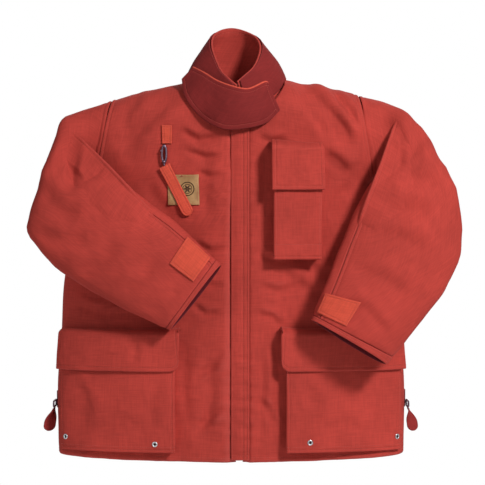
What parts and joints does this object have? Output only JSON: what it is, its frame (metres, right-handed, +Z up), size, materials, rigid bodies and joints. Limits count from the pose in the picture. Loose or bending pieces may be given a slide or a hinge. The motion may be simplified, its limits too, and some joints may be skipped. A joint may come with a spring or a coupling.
{
  "type": "turnout coat",
  "caption": "Firefighter's turnout coat with stand-up collar, throat flap, full-length fly, bellows pockets, radio pocket and bent sleeves.",
  "frame": {"origin": "underside of the hanging loop's top band inside the back neck, in its middle", "axes": "+Z up from hem to collar, the front faces -Y, +X is the wearer's left"},
  "size_m": [0.8585, 0.2892, 0.869],
  "materials": {
    "shell_cloth": "matte woven aramid, red-orange",
    "throat_cloth": "matte woven aramid, red-orange",
    "lining_cloth": "matte quilted lining",
    "zip_tape": "woven tape with moulded teeth",
    "webbing": "matte woven webbing",
    "rib_knit": "rib knit",
    "leather": "tan, embossed",
    "bright_metal": "plain nickel",
    "dark_metal": "dark satin"
  },
  "bodies": {
    "coat": {"front_right": "shell_cloth", "liner_front_right": "lining_cloth", "front_left": "shell_cloth", "liner_front_left": "lining_cloth", "back_panel": "shell_cloth", "back_yoke": "shell_cloth", "liner_back": "lining_cloth", "sleeve_top_right": "shell_cloth", "sleeve_under_right": "shell_cloth", "cuff_band_right": "shell_cloth", "wristlet_right": "rib_knit", "sleeve_top_left": "shell_cloth", "sleeve_under_left": "shell_cloth", "cuff_band_left": "shell_cloth", "wristlet_left": "rib_knit", "collar_outer": "shell_cloth", "collar_inner": "lining_cloth", "zip_tape_right": "zip_tape", "zip_tape_left": "zip_tape", "pocket_right_front": "shell_cloth", "pocket_right_gusset": "shell_cloth", "pocket_left_front": "shell_cloth", "pocket_left_gusset": "shell_cloth", "radio_pocket_front": "shell_cloth", "radio_pocket_gusset": "shell_cloth", "eyelet_right_outer": "bright_metal", "eyelet_right_inner": "bright_metal", "eyelet_left_inner": "bright_metal", "eyelet_left_outer": "bright_metal", "badge": "leather", "anchor_tab": "shell_cloth", "takeup_base_right": "webbing", "takeup_buckle_right": "dark_metal", "takeup_base_left": "webbing", "takeup_buckle_left": "dark_metal", "hanger_loop": "webbing"},
    "pocket_flap_right": {"pocket_flap_right": "shell_cloth"},
    "pocket_flap_left": {"pocket_flap_left": "shell_cloth"},
    "radio_flap": {"radio_flap": "shell_cloth"},
    "storm_fly": {"storm_fly": "shell_cloth"},
    "throat_flap": {"throat_flap": "throat_cloth"},
    "zip_slider": {"zip_slider": "bright_metal"},
    "cuff_tab_right": {"cuff_tab_right": "shell_cloth"},
    "cuff_tab_left": {"cuff_tab_left": "shell_cloth"},
    "light_strap": {"snap_hook": "dark_metal", "light_strap": "shell_cloth"},
    "takeup_tail_right": {"takeup_tail_right": "webbing"},
    "takeup_tail_left": {"takeup_tail_left": "webbing"}
  },
  "joints": [
    {"name": "pocket_flap_right_lift", "type": "hinge", "parent": "coat", "child": "pocket_flap_right", "pos_m": [-0.2271, -0.1297, -0.4725], "axis": [-0.9779, 0.2092, 0], "range_deg": [0, 24]},
    {"name": "pocket_flap_left_lift", "type": "hinge", "parent": "coat", "child": "pocket_flap_left", "pos_m": [0.2144, -0.1297, -0.4725], "axis": [-0.9783, -0.2073, 0], "range_deg": [0, 8]},
    {"name": "radio_flap_lift", "type": "hinge", "parent": "coat", "child": "radio_flap", "pos_m": [0.12325, -0.1345, -0.1046], "axis": [-0.9993, -0.0386, 0], "range_deg": [0, 85]},
    {"name": "storm_fly_swing", "type": "hinge", "parent": "coat", "child": "storm_fly", "pos_m": [-0.0058, -0.1428, -0.411], "axis": [-0.0008, -0.0109, -0.9999], "range_deg": [0, 75]},
    {"name": "throat_flap_swing", "type": "hinge", "parent": "coat", "child": "throat_flap", "pos_m": [-0.0925, -0.1005, 0.034], "axis": [-0.7059, -0.0588, -0.7059], "range_deg": [0, 70]},
    {"name": "zip_slide", "type": "slide", "parent": "coat", "child": "zip_slider", "axis": [-0.0012, -0.0109, -0.9999], "range_m": [0, 0.598]},
    {"name": "cuff_tab_right_lift", "type": "hinge", "parent": "coat", "child": "cuff_tab_right", "pos_m": [-0.06801, -0.20825, -0.31432], "axis": [-0.7368, 0.0869, 0.6705], "range_deg": [0, 60]},
    {"name": "cuff_tab_left_lift", "type": "hinge", "parent": "coat", "child": "cuff_tab_left", "pos_m": [0.17028, -0.21275, -0.42091], "axis": [-0.4127, -0.1305, -0.9015], "range_deg": [0, 60]},
    {"name": "light_strap_lift", "type": "hinge", "parent": "coat", "child": "light_strap", "pos_m": [-0.1363, -0.1355, -0.1095], "axis": [-0.8877, 0, -0.4604], "range_deg": [0, 75]},
    {"name": "takeup_tail_right_lift", "type": "hinge", "parent": "coat", "child": "takeup_tail_right", "pos_m": [-0.365, -0.058, -0.638], "axis": [0, 1, 0], "range_deg": [0, 60]},
    {"name": "takeup_tail_left_lift", "type": "hinge", "parent": "coat", "child": "takeup_tail_left", "pos_m": [0.353, -0.058, -0.638], "axis": [0, -1, 0], "range_deg": [0, 60]}
  ]
}
